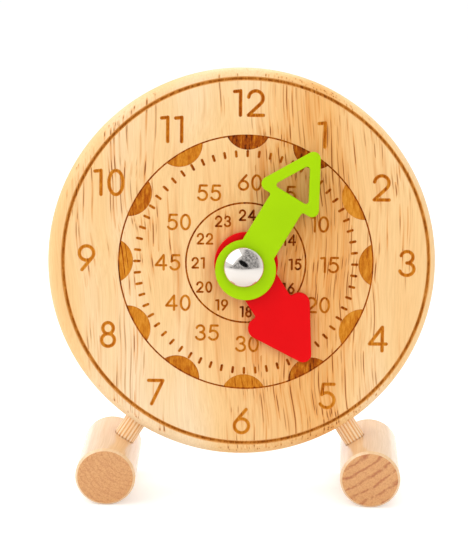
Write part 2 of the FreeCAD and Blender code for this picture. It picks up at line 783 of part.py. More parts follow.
def group(label, pieces, x=0, y=0):
    """Loose solids of one kind, kept together as one piece."""
    compound = doc.addObject("Part::Compound", label)
    compound.Links = pieces
    finish(compound, label, x, y)


def make_screws(label, places_xy, head_back, countersunk, long):
    """Slotted screws driven in from behind, each with its head at the given height."""
    screws = []
    for index, (x, y) in enumerate(places_xy, start=1):
        name = "%s_%d" % (label, index)
        body = new_body(name)
        sketch = new_sketch(body, name + "_section", "XZ_Plane")
        under = "%s + size.screw_head_thick" % head_back
        neck = "size.screw_radius" if countersunk else "size.screw_head_radius"
        loop(sketch, [
            (0, head_back),
            ("size.screw_head_radius", head_back),
            (neck, under),
            *([] if countersunk else [("size.screw_radius", under)]),
            ("size.screw_radius", "%s + %s - size.screw_radius" % (under, long)),
            (0, "%s + %s" % (under, long)),
        ])
        revolve(body, sketch, name + "_turned")
        slot_sketch = new_sketch(body, name + "_slot", at=(0, 0, head_back))
        loop(slot_sketch, [
            ("-size.screw_head_radius", "-size.screw_slot / 2"),
            ("size.screw_head_radius", "-size.screw_slot / 2"),
            ("size.screw_head_radius", "size.screw_slot / 2"),
            ("-size.screw_head_radius", "size.screw_slot / 2"),
        ])
        pocket(body, slot_sketch, "size.screw_head_thick / 2", name + "_slot_cut", forward=True)
        body.setExpression("Placement", placement(x, y, 0))
        screws.append(body)
    group(label, screws)


def make_back():
    """The strip that carries the bolt and the stud, and the lid over the gears."""
    bridge = new_body("bridge_plate")
    outline = new_sketch(bridge, "bridge_outline", at=(0, 0, "place.bridge_back"))
    slot(outline, "place.spindle_x", "place.spindle_y - place.bridge_end + size.bridge_half",
         "place.stud_y + place.bridge_end - size.bridge_half", "size.bridge_half")
    circle(outline, "place.spindle_x", "place.spindle_y", "size.bolt_radius + size.glue / 2")
    circle(outline, "place.spindle_x", "place.stud_y", "size.stud_radius + size.glue / 2")
    for x, y in BRIDGE_SCREWS:
        circle(outline, x, y, "size.screw_radius + size.fit_gap")
    pad(bridge, outline, "size.bridge_thick", "bridge_strip")
    finish(bridge, "bridge_plate")
    make_screws("bridge_screws", BRIDGE_SCREWS, "place.bridge_back - size.screw_head_thick", False,
                "(size.bridge_screw_long - size.bridge_thick / 2)")

    cover = new_body("back_cover")
    outline = new_sketch(cover, "cover_outline", at=(0, 0, "place.back"))
    slot(outline, "place.spindle_x", "place.spindle_y", "place.stud_y", "place.cover_radius")
    for x, y in COVER_SCREWS:
        circle(outline, x, y, "size.screw_radius + size.fit_gap")
    plate = pad(cover, outline, "size.cover_thick", "cover_plate")
    hole = size("screw_radius") + size("fit_gap")
    dress(cover, plate, "Chamfer", lambda edge: is_circle(edge, hole, place("back")),
          "size.screw_head_radius - size.screw_radius", "countersinks")
    finish(cover, "back_cover")
    make_screws("cover_screws", COVER_SCREWS, "place.back", True,
                "(size.cover_screw_long - size.overrun)")


make_clock_face()
make_foot("left_foot", -1, "0")
make_foot("right_foot", 1, "-size.right_foot_turn")
make_leg_dowel("left_leg_dowel", -1)
make_leg_dowel("right_leg_dowel", 1)
make_hand("minute_hand", "minute", 1, "place.minute_hand_back",
          "size.sleeve_radius - size.sleeve_step + size.glue / 2")
make_hand("hour_hand", "hour", -1, "place.hour_hand_back",
          "size.pipe_radius - size.pipe_step + size.glue / 2")
make_spindle()
make_gears()
make_stud()
make_back()
doc.recompute()

for thing in doc.Objects:
    if "Invalid" in thing.State or "Error" in thing.State:
        raise SystemExit("%s is in state %s" % (thing.Name, thing.State))
os.makedirs("parts", exist_ok=True)
for part in parts:
    shape = part.Shape
    if shape.isNull() or not shape.isValid():
        raise SystemExit("%s has no valid shape" % part.Label)
    shape.exportStep("parts/%s.step" % part.Label)
    print("%-20s %9.1f mm3, %d solids" % (part.Label, shape.Volume, len(shape.Solids)))
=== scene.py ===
"""Looks of a wooden teaching clock: an engraved rubberwood face on two dowel feet.

Shapes are worked out in the clock's own frame, in millimetres: x to the right, y up the leaning
face, z out of its front. to_row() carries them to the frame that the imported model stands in.
"""

import math

import bmesh
import bpy
import numpy as np
from mathutils import Matrix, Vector
from mathutils.geometry import delaunay_2d_cdt


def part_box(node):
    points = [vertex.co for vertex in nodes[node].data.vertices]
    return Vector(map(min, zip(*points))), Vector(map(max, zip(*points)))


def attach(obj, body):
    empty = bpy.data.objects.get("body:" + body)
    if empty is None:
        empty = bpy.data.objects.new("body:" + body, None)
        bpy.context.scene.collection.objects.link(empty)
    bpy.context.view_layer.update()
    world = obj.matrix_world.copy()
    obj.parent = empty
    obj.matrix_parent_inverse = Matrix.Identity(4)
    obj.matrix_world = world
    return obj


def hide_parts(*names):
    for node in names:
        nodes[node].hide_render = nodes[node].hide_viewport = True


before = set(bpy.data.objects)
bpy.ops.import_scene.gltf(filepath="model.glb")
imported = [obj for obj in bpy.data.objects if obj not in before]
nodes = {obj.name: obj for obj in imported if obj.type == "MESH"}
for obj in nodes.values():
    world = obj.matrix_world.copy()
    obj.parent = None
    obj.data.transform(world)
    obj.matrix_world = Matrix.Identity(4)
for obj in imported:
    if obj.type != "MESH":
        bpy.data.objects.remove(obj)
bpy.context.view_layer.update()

# The clock's frame. BASE is the middle of the face's front, in row millimetres.

LEAN = math.radians(9)
BASE = np.array([0, -3.843892, 85.433621])
AXES = np.array([
    [1, 0, 0],
    [0, math.sin(LEAN), math.cos(LEAN)],
    [0, -math.cos(LEAN), math.sin(LEAN)],
])
FACE_RADIUS = 70
FACE_MIDDLE = -9
EDGE_ROUND = 4
PRINT = np.array([1.5, 0.3])
SPINDLE = np.array([0.8, -0.6])
BUSH_HOLE = 6.05
LEG_SPREAD = math.radians(33)
FOOT_RADIUS = 10.8
DOWEL_RADIUS = 4

# The groove's distance from the print's centre, its half width, its depth and the width of each
# slanted wall, then how hard the cutter has scorched it at each step across.
RING, GROOVE_HALF, GROOVE_DEEP, GROOVE_WALL = 65.7, 0.8, 0.7, 0.4
GROOVE_STEPS = np.array([-0.8, -0.6, -0.4, -0.15, 0.15, 0.4, 0.6, 0.8])
GROOVE_BURN = [0, 0.24, 0.5, 0.72, 0.72, 0.52, 0.28, 0.04]

# How deep a burn sinks the wood at its lightest, how much more at its hardest, and how hard the
# upper edge of a burnt wall is burnt. Then the share of its burn that a stroke loses at its edge,
# the least share that it keeps, and the share that a half-moon has all over.
PRINT_SUNK, BURNT_MORE, LIP_BURN = 0.22, 0.12, 0.4
LOST_SHARE, LEAST_SHARE, MOON_SHARE = 0.45, 0.4, 0.95

# Points nearer than MERGED, in metres, become one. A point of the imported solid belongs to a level
# or a round that it lies off by less than its slack, in millimetres.
MERGED = 4e-6
LEVEL_SLACK, ROUND_SLACK = 2e-3, 5e-3


def to_row(points):
    """Clock millimetres to row metres: turn by the lean, shift by the base, divide by 1000."""
    return (np.asarray(points, float) @ AXES + BASE) / 1000


def to_clock(points):
    """Row metres to clock millimetres, the reverse of to_row."""
    return (np.asarray(points, float) * 1000 - BASE) @ AXES.T


def new_piece(name, points, faces, materials, which=None, sharp=30, burn=None):
    """A mesh object from row-frame points and faces. Doubles are merged, so that seams and poles
    are closed, and edges that turn by more than `sharp` degrees stay crisp."""
    mesh = bpy.data.meshes.new(name)
    mesh.from_pydata(np.asarray(points).tolist(), [], faces)
    for material in materials:
        mesh.materials.append(material)
    if which is not None:
        mesh.polygons.foreach_set("material_index", np.asarray(which, np.int32))
    if burn is not None:
        burnt = mesh.attributes.new("burn", "FLOAT", "POINT")
        burnt.data.foreach_set("value", np.asarray(burn, np.float32))
    work = bmesh.new()
    work.from_mesh(mesh)
    bmesh.ops.remove_doubles(work, verts=work.verts, dist=MERGED)
    work.to_mesh(mesh)
    work.free()
    mesh.shade_smooth()
    mesh.set_sharp_from_angle(angle=math.radians(sharp))
    piece = bpy.data.objects.new(name, mesh)
    bpy.context.scene.collection.objects.link(piece)
    return piece


def grid_faces(rows, columns):
    """Quads of a grid of rows x columns points, whose last column joins its first."""
    row, column = np.meshgrid(np.arange(rows - 1), np.arange(columns), indexing="ij")
    here, beside = row * columns + column, row * columns + (column + 1) % columns
    return np.stack([here, beside, beside + columns, here + columns], -1).reshape(-1, 4).tolist()


def turned(name, profile, middle, material, columns=128):
    """A turned shape: point (r, h) of the profile at angle a is middle + (r cos a, r sin a, h),
    in the clock's frame. The profile runs so that its outer side is on the right."""
    profile = np.asarray(profile, float)
    angle = np.linspace(0, 2 * math.pi, columns, endpoint=False)
    points = np.stack([
        profile[:, :1] * np.cos(angle),
        profile[:, :1] * np.sin(angle),
        np.repeat(profile[:, 1:], columns, 1),
    ], -1).reshape(-1, 3)
    return new_piece(name, to_row(points + middle), grid_faces(len(profile), columns), [material])


def packed_surface(node):
    """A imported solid's points, in row metres, and its triangles as rows of point numbers."""
    source = nodes[node].data
    corner = np.zeros(len(source.loops), np.int32)
    source.loops.foreach_get("vertex_index", corner)
    place = np.zeros(3 * len(source.vertices), np.float32)
    source.vertices.foreach_get("co", place)
    return place.reshape(-1, 3), corner.reshape(-1, 3)


# Materials


def linear(hex_colour):
    """An sRGB hex colour as linear red, green, blue and full alpha."""
    srgb = np.array([int(hex_colour[i:i + 2], 16) for i in (1, 3, 5)]) / 255
    return (*np.where(srgb <= 0.04045, srgb / 12.92, ((srgb + 0.055) / 1.055) ** 2.4).tolist(), 1)


def add(tree, kind, inputs=None, stops=None, **settings):
    """Add a node of this kind, with its settings, its inputs (values or links), and ramp stops."""
    node = tree.nodes.new(kind)
    for key, value in settings.items():
        setattr(node, key, value)
    for key, value in (inputs or {}).items():
        if isinstance(value, bpy.types.NodeSocket):
            tree.links.new(value, node.inputs[key])
        else:
            node.inputs[key].default_value = value
    for index, (position, colour) in enumerate(stops or []):
        ramp = node.color_ramp.elements
        stop = ramp[index] if index < len(ramp) else ramp.new(position)
        stop.position = position
        stop.color = linear(colour) if isinstance(colour, str) else (colour, colour, colour, 1)
    return node


def new_material(name, **constants):
    """A node material with a Principled shader. Constants go on the shader's own sockets."""
    material = bpy.data.materials.new(name)
    material.use_nodes = True
    tree = material.node_tree
    shader = tree.nodes["Principled BSDF"]
    for key, value in constants.items():
        shader.inputs[key.replace("_", " ")].default_value = value
    return material, tree, shader


def clock_coordinates(tree):
    """Object coordinates carried to the clock's frame, in millimetres, with y along the face."""
    where = add(tree, "ShaderNodeTexCoord")
    shift = -(AXES @ BASE)
    return add(tree, "ShaderNodeMapping", {
        "Vector": where.outputs["Object"],
        "Location": shift.tolist(),
        "Rotation": (LEAN - math.pi / 2, 0, 0),
        "Scale": (1000, 1000, 1000),
    }).outputs["Vector"]


def rubberwood(tree, millimetres, light="#FAD095", middle="#F3BA74", warm="#DA8530", pore="#74350F",
               pale="#FCE0B8", pores=0.0):
    """Flat-sawn rubberwood with its grain along y, slanted by 2 degrees and bent by up to 13 mm.
    Noise stretched along y gives, from coarse to fine, sapwood bands about 22 mm wide, growth
    streaks of 3 mm and fibres of 0.45 mm, and the colour is deeper and more streaked towards a
    point 9 mm right and about 4 mm up, and paler far from it. Open pores are brown lines up to
    0.4 mm wide and 11 or 42 mm long in a warm halo, which gather in some bands and on the right,
    and are few on the round edge. Returns the colour, and a value that is 1 in a pore."""
    bend, slant, deepest = 13, math.radians(-2), (-9, -3, 0)
    shrunk = add(tree, "ShaderNodeVectorMath", {
        0: millimetres, 1: (0.02, 0.014, 0.02)}, operation="MULTIPLY")
    wander = add(tree, "ShaderNodeTexNoise", {"Vector": shrunk.outputs[0], "Scale": 1, "Detail": 2})
    slanted = add(tree, "ShaderNodeMapping", {"Vector": millimetres, "Rotation": (0, 0, slant)})
    bent = add(tree, "ShaderNodeVectorMath", {
        0: wander.outputs["Color"], 1: (bend, 0, bend), 2: slanted.outputs[0],
    }, operation="MULTIPLY_ADD").outputs[0]

    def grain(across, along, detail=2, roughness=0.5):
        """Noise along the bent grain, in flecks this many millimetres across and along."""
        stretched = add(tree, "ShaderNodeVectorMath", {
            0: bent, 1: (1 / across, 1 / along, 1 / across)}, operation="MULTIPLY")
        return add(tree, "ShaderNodeTexNoise", {
            "Vector": stretched.outputs[0], "Scale": 1, "Detail": detail, "Roughness": roughness,
        }).outputs["Fac"]

    # Deeper and more streaked towards a point 9 mm right and about 4 mm up, paler far from it.
    off_deepest = add(tree, "ShaderNodeVectorMath", {
        0: millimetres, 1: (1, 0.7, 0), 2: deepest}, operation="MULTIPLY_ADD")
    off_deepest = add(tree, "ShaderNodeVectorMath", {0: off_deepest.outputs[0]}, operation="LENGTH")
    inward_deepening = add(tree, "ShaderNodeMapRange", {
        "Value": off_deepest.outputs["Value"], "From Min": 4, "From Max": 80, "To Min": 0.13, "To Max": -0.27,
    }, interpolation_type="SMOOTHSTEP").outputs[0]
    banded = add(tree, "ShaderNodeMath", {0: grain(22, 260, 1), 1: inward_deepening}, operation="ADD")
    bands = add(tree, "ShaderNodeValToRGB", {"Fac": banded.outputs[0]}, [
        (0.15, pale), (0.38, light), (0.64, middle)])
    streaked = add(tree, "ShaderNodeMath", {0: grain(3, 80, 3, 0.6), 1: inward_deepening}, operation="ADD")
    streaks = add(tree, "ShaderNodeMapRange", {
        "Value": streaked.outputs[0], "From Min": 0.46, "From Max": 0.82, "To Max": 0.72,
    }, interpolation_type="SMOOTHSTEP")
    toned = add(tree, "ShaderNodeMix", {
        "Factor": streaks.outputs[0], 6: bands.outputs[0], 7: linear(warm)}, data_type="RGBA")
    fibres = add(tree, "ShaderNodeValToRGB", {"Fac": grain(0.45, 16, 3, 0.6)}, [(0.3, "#F1ECE4"), (0.7, 1.0)])
    fibred = add(tree, "ShaderNodeMix", {
        "Factor": 1, 6: toned.outputs[2], 7: fibres.outputs[0]}, data_type="RGBA", blend_type="MULTIPLY")

    right, _, out = add(tree, "ShaderNodeSeparateXYZ", {0: millimetres}).outputs
    gathered = add(tree, "ShaderNodeMapRange", {
        "Value": grain(13, 170, 2), "From Min": 0.38, "From Max": 0.62, "To Min": -0.4, "To Max": 0.4,
    }, interpolation_type="SMOOTHSTEP")
    on_right = add(tree, "ShaderNodeMapRange", {
        "Value": right, "From Min": -45, "From Max": 45, "To Min": pores - 0.32, "To Max": pores + 0.08,
    }, interpolation_type="SMOOTHSTEP")
    off_edge = add(tree, "ShaderNodeMapRange", {
        "Value": out, "From Min": -1.6, "From Max": -0.2, "To Min": -0.85, "To Max": 0,
    }, interpolation_type="SMOOTHSTEP")
    for more in (on_right, off_edge):
        gathered = add(tree, "ShaderNodeMath", {0: gathered.outputs[0], 1: more.outputs[0]}, operation="ADD")

    def vessels(apart, along, wide, long, least):
        """Pores as slim ellipsoids along the grain, of these half widths and half lengths, one in
        each cell of this size, all in millimetres. A pore is kept where its random number beats
        the least. Returns how open it is, and its halo."""
        cells = add(tree, "ShaderNodeVectorMath", {
            0: bent, 1: (1 / apart, 1 / along, 1 / apart)}, operation="MULTIPLY").outputs[0]
        cell = add(tree, "ShaderNodeTexVoronoi", {"Vector": cells, "Scale": 1, "Randomness": 1})
        away = add(tree, "ShaderNodeVectorMath", {
            0: cells, 1: cell.outputs["Position"]}, operation="SUBTRACT")
        away = add(tree, "ShaderNodeVectorMath", {
            0: away.outputs[0], 1: (apart / wide, along / long, apart / wide)}, operation="MULTIPLY")
        away = add(tree, "ShaderNodeVectorMath", {0: away.outputs[0]}, operation="LENGTH")
        chance, darkness, _ = add(tree, "ShaderNodeSeparateXYZ", {0: cell.outputs["Color"]}).outputs
        chance = add(tree, "ShaderNodeMath", {0: chance, 1: gathered.outputs[0]}, operation="ADD")
        kept = add(tree, "ShaderNodeMapRange", {
            "Value": chance.outputs[0], "From Min": least, "From Max": least + 0.08,
        }, interpolation_type="SMOOTHSTEP")
        darkness = add(tree, "ShaderNodeMapRange", {
            "Value": darkness, "To Min": 0.45}, interpolation_type="SMOOTHSTEP")
        kept = add(tree, "ShaderNodeMath", {0: kept.outputs[0], 1: darkness.outputs[0]}, operation="MULTIPLY")
        strengths = []
        for first, last, most in ((0.7, 1.0, 1), (0.8, 2.6, 0.7)):
            fading = add(tree, "ShaderNodeMapRange", {
                "Value": away.outputs["Value"], "From Min": first, "From Max": last,
                "To Min": most, "To Max": 0,
            }, interpolation_type="SMOOTHSTEP")
            strengths.append(add(tree, "ShaderNodeMath", {
                0: fading.outputs[0], 1: kept.outputs[0]}, operation="MULTIPLY").outputs[0])
        return strengths

    near, near_halo = vessels(1.0, 12, 0.19, 5.5, 0.64)
    far, far_halo = vessels(1.4, 44, 0.2, 21, 0.42)
    line = add(tree, "ShaderNodeMath", {0: near, 1: far}, operation="MAXIMUM").outputs[0]
    halo = add(tree, "ShaderNodeMath", {0: near_halo, 1: far_halo}, operation="MAXIMUM")
    haloed = add(tree, "ShaderNodeMix", {
        "Factor": halo.outputs[0], 6: fibred.outputs[2], 7: linear(warm)}, data_type="RGBA")
    brown = add(tree, "ShaderNodeMath", {0: line, 1: 0.85}, operation="MULTIPLY")
    colour = add(tree, "ShaderNodeMix", {
        "Factor": brown.outputs[0], 6: haloed.outputs[2], 7: linear(pore)}, data_type="RGBA")
    return colour.outputs[2], line


def sunk(tree, shader, height, millimetres_deep):
    """Bump from a height value of 0 to 1, this many millimetres deep."""
    bump = add(tree, "ShaderNodeBump", {"Height": height, "Strength": 1, "Distance": millimetres_deep / 1000})
    tree.links.new(bump.outputs[0], shader.inputs["Normal"])


def lacquered_rubberwood():
    """Rubberwood board, sanded and sprayed with a clear satin lacquer. It is pale gold with brown
    pore lines, and picks up white light at a glancing angle along its round edge."""
    material, tree, shader = new_material(
        "lacquered_rubberwood", Roughness=0.5, Specular_IOR_Level=0.12,
        Coat_Weight=0.15, Coat_Roughness=0.2, Coat_IOR=1.5)
    colour, pore = rubberwood(tree, clock_coordinates(tree))
    tree.links.new(colour, shader.inputs["Base Color"])
    sunk(tree, shader, pore, -0.02)
    return material


def scorched_rubberwood(name, mottling, tones):
    """The same wood where a laser has burnt the print into it, or a cutter has run the groove and
    scorched it. "burn" is how hard it was burnt: ochre at the feathered edges, red-brown in the
    middle, nearly black where a pore crosses. The early wood burns more than the late wood, in
    flecks about 1 mm wide and 4 mm long."""
    material, tree, shader = new_material(name, Roughness=0.75, Specular_IOR_Level=0.08)
    millimetres = clock_coordinates(tree)
    _, pore = rubberwood(tree, millimetres)
    burnt = add(tree, "ShaderNodeAttribute", attribute_name="burn")
    flecks = add(tree, "ShaderNodeVectorMath", {0: millimetres, 1: (1.0, 0.25, 1.0)}, operation="MULTIPLY")
    mottled = add(tree, "ShaderNodeTexNoise", {
        "Vector": flecks.outputs[0], "Scale": 1, "Detail": 4, "Roughness": 0.75})
    uneven = add(tree, "ShaderNodeMapRange", {
        "Value": mottled.outputs["Fac"], "From Min": 0.32, "From Max": 0.68,
        "To Min": 1 - mottling, "To Max": 1 + mottling,
    })
    level = add(tree, "ShaderNodeMath", {0: burnt.outputs["Fac"], 1: uneven.outputs[0]}, operation="MULTIPLY")
    deeper = add(tree, "ShaderNodeMath", {0: pore, 1: 0.4, 2: level.outputs[0]}, operation="MULTIPLY_ADD")
    ramp = add(tree, "ShaderNodeValToRGB", {"Fac": deeper.outputs[0]}, tones)
    tree.links.new(ramp.outputs[0], shader.inputs["Base Color"])
    sunk(tree, shader, mottled.outputs["Fac"], 0.02)
    return material


def turned_rubberwood(name, middle, yaw, pith, spacing, strength):
    """Rubberwood turned to a round foot and lacquered glossy. Its grain runs along the foot's axis:
    the ends show growth rings this many millimetres apart round the pith, with pores as dots, and
    are darker because end grain drinks the lacquer. The round side mirrors the white studio, and
    its colour is also painted pale and greyish, a painted sheen over the wood's own tone."""
    material, tree, shader = new_material(
        name, Roughness=0.45, Coat_Weight=1.0, Coat_Roughness=0.08, Coat_IOR=1.5)
    where = add(tree, "ShaderNodeTexCoord")
    centred = add(tree, "ShaderNodeVectorMath", {0: where.outputs["Object"], 1: middle}, operation="SUBTRACT")
    own = add(tree, "ShaderNodeMapping", {
        "Vector": centred.outputs[0], "Rotation": (0, 0, yaw), "Scale": (1000, 1000, 1000)})
    # Partly painted sheen: the side's pale, greyish tones stand for the white that the glossy side mirrors at
    # a glancing angle, on top of the wood's own colour.
    side, pore = rubberwood(tree, own.outputs[0], "#F8DAB4", "#F5CFA0", "#EBBD84", pores=-0.7)
    flat = add(tree, "ShaderNodeVectorMath", {
        0: own.outputs[0], 1: (1, 0.02, 1)}, operation="MULTIPLY").outputs[0]
    wobble = add(tree, "ShaderNodeTexNoise", {"Vector": flat, "Scale": 0.22, "Detail": 2})
    shaken = add(tree, "ShaderNodeVectorMath", {
        0: wobble.outputs["Color"], 1: (3, 0, 3), 2: flat}, operation="MULTIPLY_ADD")
    ring = add(tree, "ShaderNodeVectorMath", {
        0: shaken.outputs[0], 1: (pith[0], 0, pith[1])}, operation="DISTANCE")
    wave = add(tree, "ShaderNodeMath", {
        0: ring.outputs["Value"], 1: 2 * math.pi / spacing}, operation="MULTIPLY")
    wave = add(tree, "ShaderNodeMath", {0: wave.outputs[0]}, operation="SINE")
    late = add(tree, "ShaderNodeValToRGB", {"Fac": wave.outputs[0]}, [(0.4, 0), (1.0, strength)])
    broken = add(tree, "ShaderNodeTexNoise", {
        "Vector": flat, "Scale": 0.35, "Detail": 2, "Roughness": 0.7})
    broken = add(tree, "ShaderNodeMapRange", {
        "Value": broken.outputs[0], "From Min": 0.3, "From Max": 0.52})
    late = add(tree, "ShaderNodeMath", {0: late.outputs[0], 1: broken.outputs[0]}, operation="MULTIPLY")
    rings = add(tree, "ShaderNodeMix", {
        "Factor": late.outputs[0], 6: linear("#DFA361"), 7: linear("#B86520")}, data_type="RGBA")
    dots = add(tree, "ShaderNodeTexNoise", {
        "Vector": flat, "Scale": 1.9, "Detail": 3, "Roughness": 0.7})
    dots = add(tree, "ShaderNodeValToRGB", {"Fac": dots.outputs[0]}, [(0.34, "#E9D3BE"), (0.6, 1.0)])
    end = add(tree, "ShaderNodeMix", {
        "Factor": 1, 6: rings.outputs[2], 7: dots.outputs[0]}, data_type="RGBA", blend_type="MULTIPLY")
    facing = add(tree, "ShaderNodeVectorMath", {
        0: where.outputs["Normal"], 1: (math.sin(yaw), math.cos(yaw), 0)}, operation="DOT_PRODUCT")
    facing = add(tree, "ShaderNodeMath", {0: facing.outputs["Value"]}, operation="ABSOLUTE")
    cut = add(tree, "ShaderNodeMapRange", {
        "Value": facing.outputs[0], "From Min": 0.88, "From Max": 0.97})
    colour = add(tree, "ShaderNodeMix", {
        "Factor": cut.outputs[0], 6: side, 7: end.outputs[2]}, data_type="RGBA")
    tree.links.new(colour.outputs[2], shader.inputs["Base Color"])
    sunk(tree, shader, pore, -0.04)
    return material


def fluted_beech(name, side, foot):
    """A bought beech dowel pin with pressed flutes, left bare: pale warm wood with a straight grain
    0.5 mm apart along the pin. Its flutes are 0.28 mm deep, with painted shade in their valleys,
    and a line of painted shade 0.4 mm wide runs round the pin where it enters the foot."""
    material, tree, shader = new_material(name, Roughness=0.55, Specular_IOR_Level=0.2)
    leaned = add(tree, "ShaderNodeVectorMath", {
        0: clock_coordinates(tree), 1: (0, 0, FACE_MIDDLE)}, operation="SUBTRACT")
    upright = add(tree, "ShaderNodeMapping", {
        "Vector": leaned.outputs[0], "Rotation": (0, 0, -side * LEG_SPREAD)}).outputs[0]
    across = add(tree, "ShaderNodeVectorMath", {0: upright, 1: (1, 0, 1)}, operation="MULTIPLY")
    across = add(tree, "ShaderNodeVectorMath", {0: across.outputs[0]}, operation="LENGTH")
    outermost = add(tree, "ShaderNodeMath", {
        0: across.outputs["Value"], 1: DOWEL_RADIUS - 1}, operation="SUBTRACT")
    # Painted shade: the flutes' valleys are coloured darker than their ridges, standing for the shade in
    # them.
    flute_shade = add(tree, "ShaderNodeValToRGB", {"Fac": outermost.outputs[0]}, [
        (0.70, "#E9CBA2"), (0.84, "#F6E4CC"), (0.95, "#FFFFFF")])
    stretched = add(tree, "ShaderNodeVectorMath", {0: upright, 1: (2, 0.1, 2)}, operation="MULTIPLY")
    fibre = add(tree, "ShaderNodeTexNoise", {
        "Vector": stretched.outputs[0], "Scale": 1, "Detail": 3, "Roughness": 0.6})
    tone = add(tree, "ShaderNodeValToRGB", {"Fac": fibre.outputs[0]}, [(0.35, "#FBD3A2"), (0.62, "#FFE8C8")])
    colour = add(tree, "ShaderNodeMix", {
        "Factor": 1, 6: tone.outputs[0], 7: flute_shade.outputs[0]}, data_type="RGBA", blend_type="MULTIPLY")
    place = add(tree, "ShaderNodeTexCoord").outputs["Object"]
    above = add(tree, "ShaderNodeVectorMath", {0: place, 1: foot_middle(foot)}, operation="SUBTRACT")
    above = add(tree, "ShaderNodeVectorMath", {0: above.outputs[0], 1: (1000, 0, 1000)}, operation="MULTIPLY")
    above = add(tree, "ShaderNodeVectorMath", {0: above.outputs[0]}, operation="LENGTH")
    # Painted shade: a dark line round the pin where it enters the foot, standing for the shadow in the joint.
    joint_shade = add(tree, "ShaderNodeMapRange", {
        "Value": above.outputs["Value"], "From Min": FOOT_RADIUS + 0.25, "From Max": FOOT_RADIUS + 0.5,
        "To Min": 0.5, "To Max": 0,
    })
    colour = add(tree, "ShaderNodeMix", {
        "Factor": joint_shade.outputs[0], 6: colour.outputs[2], 7: linear("#A8672C")}, data_type="RGBA")
    tree.links.new(colour.outputs[2], shader.inputs["Base Color"])
    sunk(tree, shader, fibre.outputs[0], 0.03)
    return material


def birch_plywood():
    """Thin sanded birch plywood, bare: cream with wavy brown figure 5 mm apart along the sheet."""
    material, tree, shader = new_material("birch_plywood", Roughness=0.65)
    colour, pore = rubberwood(
        tree, clock_coordinates(tree), "#F3DDB6", "#E9CC9C", "#D9B27C", "#B98850", pores=-0.05)
    tree.links.new(colour, shader.inputs["Base Color"])
    sunk(tree, shader, pore, -0.02)
    return material


def moulded_abs(name, colour, deeper):
    """ABS moulded in colour, satin from a spark-eroded tool: an even bright skin whose texture of
    0.25 mm grains only softens the highlights, and is a touch deeper in faint flow marks."""
    material, tree, shader = new_material(name, Roughness=0.42, IOR=1.53, Specular_IOR_Level=0.09)
    place = add(tree, "ShaderNodeTexCoord").outputs["Object"]
    flow = add(tree, "ShaderNodeTexNoise", {"Vector": place, "Scale": 55, "Detail": 2})
    tint = add(tree, "ShaderNodeValToRGB", {"Fac": flow.outputs[0]}, [(0.3, colour), (0.75, deeper)])
    tree.links.new(tint.outputs[0], shader.inputs["Base Color"])
    skin = add(tree, "ShaderNodeTexNoise", {"Vector": place, "Scale": 1000 / 0.25, "Detail": 1})
    sunk(tree, shader, skin.outputs[0], 0.012)
    return material


def metal(name, colour, roughness, grit, depth):
    """A bare or plated metal: its reflection broken by fine marks `grit` mm apart."""
    material, tree, shader = new_material(name, Metallic=1.0, Roughness=roughness)
    shader.inputs["Base Color"].default_value = linear(colour)
    place = add(tree, "ShaderNodeTexCoord").outputs["Object"]
    marks = add(tree, "ShaderNodeTexNoise", {
        "Vector": place, "Scale": 1000 / grit, "Detail": 3, "Roughness": 0.65})
    spread = add(tree, "ShaderNodeMapRange", {
        "Value": marks.outputs[0], "To Min": 0.6 * roughness, "To Max": 1.5 * roughness})
    tree.links.new(spread.outputs[0], shader.inputs["Roughness"])
    sunk(tree, shader, marks.outputs[0], depth)
    return material


def nylon(name, colour, through):
    """Natural nylon, turned or moulded: milky, a little light passes under its skin, and
    faint machining marks 0.2 mm apart."""
    material, tree, shader = new_material(name, Roughness=0.38, IOR=1.53, Subsurface_Weight=through)
    shader.inputs["Base Color"].default_value = linear(colour)
    shader.inputs["Subsurface Scale"].default_value = 0.0008
    place = add(tree, "ShaderNodeTexCoord").outputs["Object"]
    marks = add(tree, "ShaderNodeTexNoise", {"Vector": place, "Scale": 1000 / 0.2, "Detail": 2})
    sunk(tree, shader, marks.outputs[0], 0.01)
    return material


# The print on the face

def arc(x, y, across, up, first, last, step=12):
    """Points of an ellipse round (x, y), from the first angle to the last, in degrees."""
    count = max(2, round(abs(last - first) / step) + 1)
    angle = np.radians(np.linspace(first, last, count))
    return np.stack([x + across * np.cos(angle), y + up * np.sin(angle)], 1)


# Centre lines of plain round numerals, one high, with the pen lifted between runs.
NUMERALS = {
    "0": [arc(0.29, 0.5, 0.29, 0.5, 0, 360)],
    "1": [[(0, 0.965), (0.25, 0.99)], [(0.25, 1), (0.25, 0)]],
    "2": [np.vstack([arc(0.3, 0.7, 0.3, 0.3, 172, -45), [(0.0, 0.0)]]), [(0, 0), (0.62, 0)]],
    "3": [arc(0.28, 0.76, 0.25, 0.24, 165, -90), arc(0.28, 0.26, 0.3, 0.26, 90, -162)],
    "4": [[(0.53, 1), (0, 0.29)], [(0, 0.29), (0.7, 0.29)], [(0.53, 1), (0.53, 0)]],
    "5": [[(0.58, 1), (0.13, 1)], [(0.13, 1), (0.07, 0.56)], arc(0.28, 0.32, 0.31, 0.32, 133, -150)],
    "6": [[(0.49, 1), (0.069, 0.491)], arc(0.3, 0.3, 0.3, 0.3, 140, 500)],
    "7": [[(0, 1), (0.6, 1)], [(0.6, 1), (0.13, 0)]],
    "8": [arc(0.27, 0.765, 0.22, 0.235, 0, 360), arc(0.27, 0.265, 0.27, 0.265, 0, 360)],
    "9": [[(0.11, 0), (0.531, 0.509)], arc(0.3, 0.7, 0.3, 0.3, -40, 320)],
}


